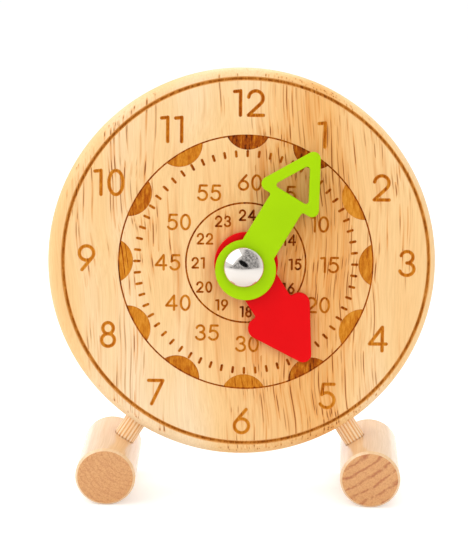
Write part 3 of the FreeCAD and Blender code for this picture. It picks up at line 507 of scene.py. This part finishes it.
def written(text, middle, high, half, burn, gap=0.33, squeeze=1.0):
    """The runs of a number, as (centre line, half width, burn), centred on a point of the face.
    `high` is the centre line's height, and the gap and widths are shares of it."""
    glyphs = [[np.asarray(run, float) * (squeeze, 1) for run in NUMERALS[digit]] for digit in text]
    widths = [max(run[:, 0].max() for run in glyph) for glyph in glyphs]
    start, runs = -(sum(widths) + gap * (len(text) - 1)) / 2, []
    for glyph, width in zip(glyphs, widths):
        runs += [((run + (start, -0.5)) * high + middle, half, burn) for run in glyph]
        start += width + gap
    return runs


def clockwise(radius, degrees):
    """The point of the print at this radius and angle from twelve, measured clockwise. The whole
    print is turned on the board by PRINT_TURN degrees."""
    angle = math.radians(degrees + PRINT_TURN)
    return PRINT + (radius * math.sin(angle), radius * math.cos(angle))


# Middles of the hour numerals from the print's centre, and how dark each is burnt.
HOURS = {
    "12": (0.5, 57.0, 0.72), "1": (26.6, 46.0, 0.6), "2": (48.3, 27.4, 0.6), "3": (57.9, 0.4, 0.62),
    "4": (48.0, -27.1, 0.55), "5": (30.0, -48.1, 0.57), "6": (-0.9, -57.7, 0.52), "7": (-32.1, -47.4, 0.58),
    "8": (-49.4, -26.5, 0.56), "9": (-57.2, 1.2, 0.52), "10": (-49.2, 28.3, 0.55), "11": (-26.9, 47.4, 0.7),
}
MOON_BURN = [0.8, 0.78, 0.34, 0.5, 0.4, 0.66, 0.42, 0.52, 0.44, 0.38, 0.6, 0.48]
SMALL_BURN = [0.8, 0.95, 0.9, 0.95, 0.8, 0.98, 0.72, 0.78, 0.74, 0.72, 0.86, 1.0]
PRINT_TURN = 0.35
DIAL_RING, INNER_RING = 45.6, 21.5

# Distance from the print's centre, height of the centre line and half width of the stroke.
HOUR_HIGH, HOUR_PEN = 8.6, 0.64
MINUTE_FROM, MINUTE_HIGH, MINUTE_PEN = 29.1, 5.15, 0.45
SMALL_FROM, SMALL_HIGH, SMALL_PEN = 17.4, 3.5, 0.39
TICK_FROM, TICK_HALF_LONG, TICK_PEN = 39.1, 0.85, 0.5

# A half-moon's circle, and half of what its tips span, in degrees, seen from the circle's middle
# and from the print's.
MOON_FROM, MOON_RADIUS, MOON_SWEEP, MOON_SPAN = 48.8, 8.33, 62.8, 9.34


def numerals():
    """Every number on the face: hours outside, minutes inside, and 13 to 24 in the middle."""
    runs = []
    for text, (x, y, burn) in HOURS.items():
        runs += written(text, PRINT + (x, y), HOUR_HIGH, HOUR_PEN, burn)
    for hour in range(1, 13):
        middle = clockwise(MINUTE_FROM, 30 * hour) + (1.0, -0.3)
        burn = 0.55 if 6 <= hour <= 11 else 0.66
        runs += written(str(5 * hour), middle, MINUTE_HIGH, MINUTE_PEN, burn, 0.3, 1.04)
        middle = clockwise(SMALL_FROM, 30 * hour) + (0.3, -0.3)
        burn = SMALL_BURN[hour - 1]
        runs += written(str(12 + hour), middle, SMALL_HIGH, SMALL_PEN, burn, 0.36, 0.92)
    return runs


def ticks():
    """Sixty short strokes towards the middle, one a minute."""
    runs = []
    for minute in range(60):
        inner = clockwise(TICK_FROM - TICK_HALF_LONG, 6 * minute)
        outer = clockwise(TICK_FROM + TICK_HALF_LONG, 6 * minute)
        burn = 0.82 if minute < 36 or minute > 51 else 0.68
        runs.append((np.array([inner, outer]), TICK_PEN, burn))
    return runs


def rings():
    """The two thin circles of the print."""
    return [
        (arc(*PRINT, DIAL_RING, DIAL_RING, 0, 360, 2), 0.29, 0.85),
        (arc(*PRINT, INNER_RING, INNER_RING, 0, 360, 3), 0.33, 0.86),
    ]


def outline(line, half):
    """The edge of a round-ended stroke: the centre line moved left and right by its half width,
    each point along the mean of its neighbours' normals, with a half circle at each end."""
    step = np.diff(line, axis=0)
    step /= np.linalg.norm(step, axis=1, keepdims=True)
    along = np.vstack([step[:1], step[:-1] + step[1:], step[-1:]])
    along /= np.linalg.norm(along, axis=1, keepdims=True)
    side = np.stack([-along[:, 1], along[:, 0]], 1) * half
    heading = math.degrees(math.atan2(*along[-1][::-1]))
    backing = math.degrees(math.atan2(*along[0][::-1]))
    return np.vstack([
        line - side,
        arc(*line[-1], half, half, heading - 90, heading + 90, 30)[1:-1],
        (line + side)[::-1],
        arc(*line[0], half, half, backing + 90, backing + 270, 30)[1:-1],
    ])


def near_line(points, line):
    """Distance from each point to a polyline, the least over its straight runs."""
    start, step = line[:-1], np.diff(line, axis=0)
    rel = points[:, None] - start
    share = np.clip((rel * step).sum(-1) / (step ** 2).sum(-1), 0, 1)
    return np.linalg.norm(rel - share[..., None] * step, axis=-1).min(1)


def ring_edges(line, half):
    """The loops of a closed stroke: its centre line moved in and out by its half width, each point
    along the mean of its neighbours' normals, and the centre line itself."""
    step = np.diff(line, axis=0)
    along = np.vstack([line[1:2] - line[-2:-1], step[:-1] + step[1:]])
    along /= np.linalg.norm(along, axis=1, keepdims=True)
    side = np.stack([-along[:, 1], along[:, 0]], 1) * half
    return [line[:-1] - side, line[:-1] + side, line[:-1]]


def half_moons():
    """The twelve half-moons, each as its circle's middle and its outline: the inner part of that
    circle, closed along the dial's ring."""
    moons = []
    for hour in range(12):
        middle = clockwise(MOON_FROM, 30 * hour)
        outwards = 90 - 30 * hour - PRINT_TURN
        inwards = outwards - 180
        inner = arc(*middle, MOON_RADIUS, MOON_RADIUS, inwards - MOON_SWEEP, inwards + MOON_SWEEP, 8)
        outer = arc(*PRINT, DIAL_RING, DIAL_RING, outwards - MOON_SPAN, outwards + MOON_SPAN, 2)
        moons.append((middle, np.vstack([inner, outer])))
    return moons


def board_height(flat):
    """Height of the face's front: level inside, a quarter round of 4 mm at the edge, and a groove
    of trapezoid section round the print, wherever that is lower."""
    out = np.clip(np.linalg.norm(flat, axis=1) - (FACE_RADIUS - EDGE_ROUND), 0, EDGE_ROUND)
    edge = np.sqrt(EDGE_ROUND ** 2 - out ** 2) - EDGE_ROUND
    off = np.abs(np.linalg.norm(flat - PRINT, axis=1) - RING)
    groove = -GROOVE_DEEP * np.clip((GROOVE_HALF - off) / GROOVE_WALL, 0, 1)
    return np.where(out > EDGE_ROUND - ROUND_SLACK, -EDGE_ROUND, np.minimum(edge, groove))


def packed_edges(solid):
    """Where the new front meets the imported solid: the rim behind the round edge and the mouth of
    the bush hole, each a loop of the solid's own points sorted by their angle."""
    outside = np.hypot(solid[:, 0], solid[:, 1]) > FACE_RADIUS - ROUND_SLACK
    rim = solid[(np.abs(solid[:, 2] + EDGE_ROUND) < LEVEL_SLACK) & outside]
    inside = np.linalg.norm(solid[:, :2] - SPINDLE, axis=1) < BUSH_HOLE + ROUND_SLACK
    hole = solid[(np.abs(solid[:, 2]) < LEVEL_SLACK) & inside]
    loops = []
    for loop, middle in ((rim, (0, 0)), (hole, SPINDLE)):
        flat = np.unique(loop[:, :2].round(4), axis=0) - middle
        loops.append(flat[np.argsort(np.arctan2(flat[:, 1], flat[:, 0]))] + middle)
    return loops


def level_circles():
    """Circles on the front where its height changes: every 9 degrees up the round edge, and at each
    step across the groove."""
    circles = []
    for turn in range(0, 85, 9):
        radius = FACE_RADIUS - EDGE_ROUND + EDGE_ROUND * math.sin(math.radians(turn))
        circles.append(arc(0, 0, radius, radius, 0, 358.5, 1.5))
    for radius in RING + GROOVE_STEPS:
        circles.append(arc(*PRINT, radius, radius, 0, 358.5, 1.5))
    return circles


def front_sheet(solid, runs, moons):
    """The front as flat triangles that turn anticlockwise, cut along every edge of the board and of
    the print, with the bush hole left open. Returns its points, faces and the faces' middles."""
    loops, lines = packed_edges(solid) + level_circles(), []
    for line, half, _ in runs:
        if np.allclose(line[0], line[-1]):
            loops += ring_edges(line, half)
        else:
            loops.append(outline(line, half))
            lines.append(line)
    loops += [edge for _, edge in moons]

    points, edges = [], []
    for line, closed in [(loop, True) for loop in loops] + [(line, False) for line in lines]:
        first, count = len(points), len(line)
        points += line.tolist()
        edges += [(first + i, first + (i + 1) % count) for i in range(count - (not closed))]
    flat, _, faces, _, _, _ = delaunay_2d_cdt(points, edges, [], 0, 1e-5, False)
    flat, faces = np.array([tuple(point) for point in flat]), np.array(faces)
    first_side, second_side = (flat[faces[:, 1:]] - flat[faces[:, :1]]).transpose(1, 0, 2)
    area = first_side[:, 0] * second_side[:, 1] - first_side[:, 1] * second_side[:, 0]
    faces = np.where((area > 0)[:, None], faces, faces[:, ::-1])
    middles = flat[faces].mean(1)
    wooden = np.linalg.norm(middles - SPINDLE, axis=1) > BUSH_HOLE - 4 * ROUND_SLACK
    return flat, faces[wooden], middles[wooden]


def burnt_areas(flat, faces, middles, runs, moons):
    """Which faces of the front are burnt, and at each point how hard and how deep. A stroke is burnt
    hardest on its centre line, and less by the square of the distance from it."""
    areas = []
    for line, half, level in runs:
        low, high = line.min(0) - 2 * half, line.max(0) + 2 * half
        near = np.flatnonzero(((middles > low) & (middles < high)).all(1))
        inside = near[near_line(middles[near], line) < half]
        touched = np.unique(faces[inside])
        share = np.clip(1 - LOST_SHARE * (near_line(flat[touched], line) / half) ** 2, LEAST_SHARE, 1)
        areas.append((inside, touched, share, level))
    for (middle, _), level in zip(moons, MOON_BURN):
        in_circle = np.linalg.norm(middles - middle, axis=1) < MOON_RADIUS
        in_dial = np.linalg.norm(middles - PRINT, axis=1) < DIAL_RING
        inside = np.flatnonzero(in_circle & in_dial)
        areas.append((inside, np.unique(faces[inside]), MOON_SHARE, level))

    cut = np.zeros(len(faces), bool)
    burn, deep = np.zeros(len(flat)), np.zeros(len(flat))
    for inside, touched, share, level in areas:
        cut[inside] = True
        burn[touched] = np.maximum(burn[touched], level * share)
        deep[touched] = np.maximum(deep[touched], PRINT_SUNK + BURNT_MORE * share)
    return cut, burn, deep


def clock_face(wood, scorched, grooved_wood):
    """The wooden face. Its back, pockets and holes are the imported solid's own. Its front is the flat
    sheet at the board's height, whose burnt faces are sunk and joined to it by walls along every
    edge that no other burnt face shares."""
    place, triangles = packed_surface("clock_face")
    solid = to_clock(place)
    kept = triangles[solid[triangles][:, :, 2].min(1) < -EDGE_ROUND - LEVEL_SLACK / 2]
    runs, moons = numerals() + ticks() + rings(), half_moons()
    flat, faces, middles = front_sheet(solid, runs, moons)
    cut, burn, deep = burnt_areas(flat, faces, middles, runs, moons)

    top, sunken, count = faces[~cut], faces[cut], len(flat)
    sides = np.vstack([sunken[:, [0, 1]], sunken[:, [1, 2]], sunken[:, [2, 0]]]).astype(np.int64)
    shared = np.isin(sides[:, 0] * count + sides[:, 1], sides[:, 1] * count + sides[:, 0])
    first, last = sides[~shared].T
    walls = np.column_stack([first + count, first, last, last + count])
    used = np.unique(kept)
    renumbered = np.zeros(len(solid), np.int64)
    renumbered[used] = np.arange(len(used)) + 2 * count
    all_faces = [*top.tolist(), *(sunken + count).tolist(), *walls.tolist(), *renumbered[kept].tolist()]
    height = board_height(flat)
    upper, lower = np.column_stack([flat, height]), np.column_stack([flat, height - deep])
    all_points = to_row(np.vstack([upper, lower, solid[used]]))

    off = np.linalg.norm(flat - PRINT, axis=1) - RING
    in_groove = np.abs(off) < GROOVE_HALF + 2 * ROUND_SLACK
    groove_burn = np.where(in_groove, np.interp(off, GROOVE_STEPS, GROOVE_BURN), LIP_BURN)
    all_burn = np.concatenate([groove_burn, np.where(deep > 0, burn, groove_burn), np.zeros(len(used))])
    grooved = np.abs(np.linalg.norm(middles[~cut] - PRINT, axis=1) - RING) < GROOVE_HALF
    which = np.concatenate([2 * grooved, np.ones(len(sunken) + len(walls)), np.zeros(len(kept))])
    finishes = [wood, scorched, grooved_wood]
    piece = new_piece("engraved_face", all_points, all_faces, finishes, which, 35, all_burn)
    loose = bmesh.new()
    loose.from_mesh(piece.data)
    bmesh.ops.delete(loose, geom=[v for v in loose.verts if not v.link_faces], context="VERTS")
    loose.to_mesh(piece.data)
    loose.free()
    return piece


laser_tones = [
    (0.0, "#F0B464"), (0.25, "#E09834"), (0.45, "#CC7D1E"),
    (0.65, "#AC560C"), (0.85, "#8A3A07"), (1.0, "#4A1A04"),
]
cutter_tones = [(0.0, "#F6C88C"), (0.3, "#DFA255"), (0.55, "#C47E30"), (0.75, "#9E5816"), (1.0, "#5E2908")]
wood = lacquered_rubberwood()
scorched = scorched_rubberwood("scorched_rubberwood", 0.38, laser_tones)
grooved_wood = scorched_rubberwood("scorched_groove", 0.34, cutter_tones)
face = clock_face(wood, scorched, grooved_wood)
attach(face, "root")
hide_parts("clock_face")


def softened(name, node, material, width):
    """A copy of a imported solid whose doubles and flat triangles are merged, with its sharp edges
    rounded over by a Bevel of this width in millimetres, in three segments."""
    points, triangles = packed_surface(node)
    piece = new_piece(name, points, triangles.tolist(), [material])
    work = bmesh.new()
    work.from_mesh(piece.data)
    bmesh.ops.dissolve_limit(work, angle_limit=math.radians(1), verts=work.verts, edges=work.edges)
    work.to_mesh(piece.data)
    work.free()
    piece.data.shade_smooth()
    piece.data.set_sharp_from_angle(angle=math.radians(30))
    bevel = piece.modifiers.new("rounded", "BEVEL")
    bevel.width, bevel.segments, bevel.limit_method = width / 1000, 3, "ANGLE"
    bevel.angle_limit, bevel.harden_normals = math.radians(32), True
    return piece


def foot_middle(node):
    """The middle of a foot, from its packed box, in row metres."""
    low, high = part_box(node)
    return tuple((low + high) / 2)


# Piece name, turn about the vertical, pith in millimetres from the foot's middle, the rings'
# spacing and their strength.
FEET = {
    "left_foot": ("turned_left_foot", 0, (12, 14), 1.9, 0.3),
    "right_foot": ("turned_right_foot", math.radians(4), (-33, 50), 3.6, 0.9),
}
for node, (name, *grown) in FEET.items():
    finish = turned_rubberwood(name.replace("turned", "rubberwood"), foot_middle(node), *grown)
    foot = softened(name, node, finish, 0.28)
    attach(foot, "root")
    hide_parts(node)

cover = softened("plywood_cover", "back_cover", birch_plywood(), 0.2)
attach(cover, "root")
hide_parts("back_cover")

DOME_BACK, DOME_RIM, DOME_RISE, DOME_RADIUS, DOME_CORNER = 6.9, 1.6, 3.2, 7.1, 0.3
THREAD_RADIUS, THREAD_LONG = 1.5, 3.4
BALL = (DOME_RADIUS ** 2 + DOME_RISE ** 2) / (2 * DOME_RISE)


def dome_profile():
    """From the threaded hole out along the flat back, round the rolled rim, and up the ball to the
    crown: r = R sin t, h = top - R (1 - cos t)."""
    top = DOME_BACK + DOME_RIM + DOME_RISE
    widest = math.asin(DOME_RADIUS / BALL)
    turn = np.linspace(widest - 0.04, 0, 34)
    crown = np.stack([BALL * np.sin(turn), top - BALL * (1 - np.cos(turn))], 1)
    corner = DOME_RADIUS - DOME_CORNER
    rim = np.vstack([
        arc(corner, DOME_BACK + DOME_CORNER, DOME_CORNER, DOME_CORNER, -90, 0, 18),
        arc(corner, DOME_BACK + DOME_RIM - 0.2, DOME_CORNER, DOME_CORNER, 0, 40, 10),
    ])
    hole = [
        (0, DOME_BACK + THREAD_LONG),
        (THREAD_RADIUS, DOME_BACK + THREAD_LONG),
        (THREAD_RADIUS, DOME_BACK + DOME_CORNER),
        (THREAD_RADIUS + DOME_CORNER, DOME_BACK),
    ]
    return np.vstack([hole, rim, crown])


chrome = metal("bright_chrome", "#DDD6CF", 0.05, 0.3, 0.002)
dome = turned("chromed_dome", dome_profile(), (*SPINDLE, 0), chrome)
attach(dome, "root")
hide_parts("dome_nut")

zinc = metal("zinc_plated_steel", "#B9BCC0", 0.32, 0.25, 0.01)
brass = metal("turned_brass", "#D9B25A", 0.25, 0.2, 0.008)
green = moulded_abs("green_abs", "#A9D700", "#A2CF00")
red = moulded_abs("red_abs", "#E6040C", "#DE040B")
washer = nylon("natural_nylon", "#EDE7D8", 0.25)
gear = nylon("white_nylon", "#F1EFE8", 0.15)
FINISHES = {
    "left_leg_dowel": fluted_beech("left_beech_dowel", -1, "left_foot"),
    "right_leg_dowel": fluted_beech("right_beech_dowel", 1, "right_foot"),
    "minute_hand": green, "hour_hand": red,
    "centre_bolt": zinc, "bridge_plate": zinc, "bridge_screws": zinc, "cover_screws": zinc,
    "intermediate_stud": zinc, "spring_washer": zinc, "face_bush": brass, "minute_sleeve": brass,
    "hour_pipe": brass, "face_washer": washer, "hand_spacer": washer, "dome_washer": washer,
    "stud_washers": washer, "minute_pinion": gear, "hour_gear": gear, "intermediate_wheel": gear,
    "intermediate_pinion": gear,
}
for name, finish in FINISHES.items():
    for place in nodes[name].material_slots:
        place.material = finish

# Camera, floor and light

# The photograph's view, from 14 degrees above and half a metre away. The columns of the matrix
# are the camera's right, up and back, and its place in metres.
camera = bpy.data.objects.new("camera", bpy.data.cameras.new("camera"))
bpy.context.scene.collection.objects.link(camera)
camera.data.sensor_width = 36
camera.data.lens = 93.171
camera.data.clip_start, camera.data.clip_end = 0.02, 50
camera.matrix_world = Matrix((
    (0.99993995, -0.01089714, 0.0011586, -0.00212211),
    (0.00384372, 0.24975561, -0.96830128, -0.48846334),
    (0.01026234, 0.96824759, 0.2497825, 0.20841624),
    (0, 0, 0, 1),
))
bpy.context.scene.camera = camera

FLOOR = 6
floor_mesh = bpy.data.meshes.new("floor")
floor_mesh.from_pydata([
    (-FLOOR, -FLOOR, 0), (FLOOR, -FLOOR, 0), (FLOOR, FLOOR, 0), (-FLOOR, FLOOR, 0)], [], [(0, 1, 2, 3)])
floor = bpy.data.objects.new("floor", floor_mesh)
bpy.context.scene.collection.objects.link(floor)
floor_material, tree, shader = new_material("floor_paper", Roughness=0.9, Specular_IOR_Level=0.0)
shader.inputs["Base Color"].default_value = linear("#F0F0F0")
path = add(tree, "ShaderNodeLightPath")
shader.inputs["Emission Color"].default_value = (1, 1, 1, 1)
polished = add(tree, "ShaderNodeMath", {0: path.outputs["Is Glossy Ray"], 1: 0.2}, operation="MULTIPLY")
lift = add(tree, "ShaderNodeMath", {
    0: path.outputs["Is Camera Ray"], 1: 0.32, 2: polished.outputs[0]}, operation="MULTIPLY_ADD")
tree.links.new(lift.outputs[0], shader.inputs["Emission Strength"])
floor_mesh.materials.append(floor_material)

world = bpy.data.worlds.new("studio")
bpy.context.scene.world = world
world.use_nodes = True
tree = world.node_tree
background = tree.nodes["Background"]
path = add(tree, "ShaderNodeLightPath")
seen = add(tree, "ShaderNodeMath", {
    0: path.outputs["Is Camera Ray"], 1: path.outputs["Is Glossy Ray"]}, operation="MAXIMUM")
seen = add(tree, "ShaderNodeMath", {
    0: seen.outputs[0], 1: path.outputs["Is Transmission Ray"]}, operation="MAXIMUM")
level = add(tree, "ShaderNodeMapRange", {"Value": seen.outputs[0], "To Min": 0.8, "To Max": 1.0})
tree.links.new(level.outputs[0], background.inputs["Strength"])
# The unlit room in front of the table and to the right of the big lamp, which only polished
# surfaces show, with the dark shape of the camera and its stand in the middle of it.
way = add(tree, "ShaderNodeTexCoord").outputs["Generated"]
clutter = add(tree, "ShaderNodeTexNoise", {"Vector": way, "Scale": 6, "Detail": 4, "Roughness": 0.85})
in_front = add(tree, "ShaderNodeVectorMath", {0: way, 1: (0, -1, 0.35)}, operation="DOT_PRODUCT")
in_front = add(tree, "ShaderNodeMapRange", {
    "Value": in_front.outputs["Value"], "From Min": 0.2, "From Max": 0.42})
past_lamp = add(tree, "ShaderNodeVectorMath", {0: way, 1: (1, 0, -1)}, operation="DOT_PRODUCT")
past_lamp = add(tree, "ShaderNodeMapRange", {
    "Value": past_lamp.outputs["Value"], "From Min": -1.05, "From Max": -0.85})
room = add(tree, "ShaderNodeMath", {0: in_front.outputs[0], 1: past_lamp.outputs[0]}, operation="MULTIPLY")
ragged = add(tree, "ShaderNodeMath", {0: clutter.outputs[0], 1: 4, 2: -1.5}, operation="MULTIPLY_ADD")
grey = add(tree, "ShaderNodeValToRGB", {"Fac": ragged.outputs[0]}, [(0.1, 0.75), (0.5, 0.42), (1.0, 0.12)])
grey = add(tree, "ShaderNodeMix", {
    "Factor": room.outputs[0], 6: (1, 1, 1, 1), 7: grey.outputs[0]}, data_type="RGBA")
stand = add(tree, "ShaderNodeMapping", {
    "Vector": way, "Location": (-0.02, -0.9, 0.38), "Rotation": (0, math.radians(32), 0),
    "Scale": (0.4, 1.2, 0.17),
}, vector_type="TEXTURE")
stand = add(tree, "ShaderNodeVectorMath", {0: stand.outputs[0]}, operation="LENGTH")
stand = add(tree, "ShaderNodeMath", {
    0: clutter.outputs[0], 1: 1.2, 2: stand.outputs["Value"]}, operation="MULTIPLY_ADD")
stand = add(tree, "ShaderNodeMath", {0: stand.outputs[0], 1: 0.6}, operation="MULTIPLY")
stand = add(tree, "ShaderNodeValToRGB", {"Fac": stand.outputs[0]}, [(0.9, 0.02), (1.0, 1.0)])
dim = add(tree, "ShaderNodeMix", {
    "Factor": 1, 6: grey.outputs[2], 7: stand.outputs[0]}, data_type="RGBA", blend_type="MULTIPLY")
only = add(tree, "ShaderNodeMix", {
    "Factor": path.outputs["Is Glossy Ray"], 6: (1, 1, 1, 1), 7: dim.outputs[2]}, data_type="RGBA")
tree.links.new(only.outputs[2], background.inputs["Color"])


def lamp(name, where, towards, side, watts):
    """A square soft box at a point, turned towards another, both in metres."""
    light = bpy.data.lights.new(name, "AREA")
    light.size, light.energy = side, watts
    box = bpy.data.objects.new(name, light)
    bpy.context.scene.collection.objects.link(box)
    back = np.subtract(where, towards)
    back = back / np.linalg.norm(back)
    right = np.cross((0, 0, 1), back)
    right = right / np.linalg.norm(right)
    turned_to = np.column_stack([right, np.cross(back, right), back])
    box.matrix_world = Matrix(np.vstack([np.column_stack([turned_to, where]), [0, 0, 0, 1]]).tolist())
    return box


lamp("side_soft_box", (-0.62, -0.14, 0.7), (0, 0, 0.08), 1.0, 4.05)
lamp("front_soft_box", (0.5, -0.8, 0.6), (0, 0, 0.08), 0.6, 1.75).visible_glossy = False
lamp("top_soft_box", (0.1, 0.4, 0.7), (0, 0, 0.05), 0.5, 1.8)

bpy.context.scene.view_settings.view_transform = "Standard"
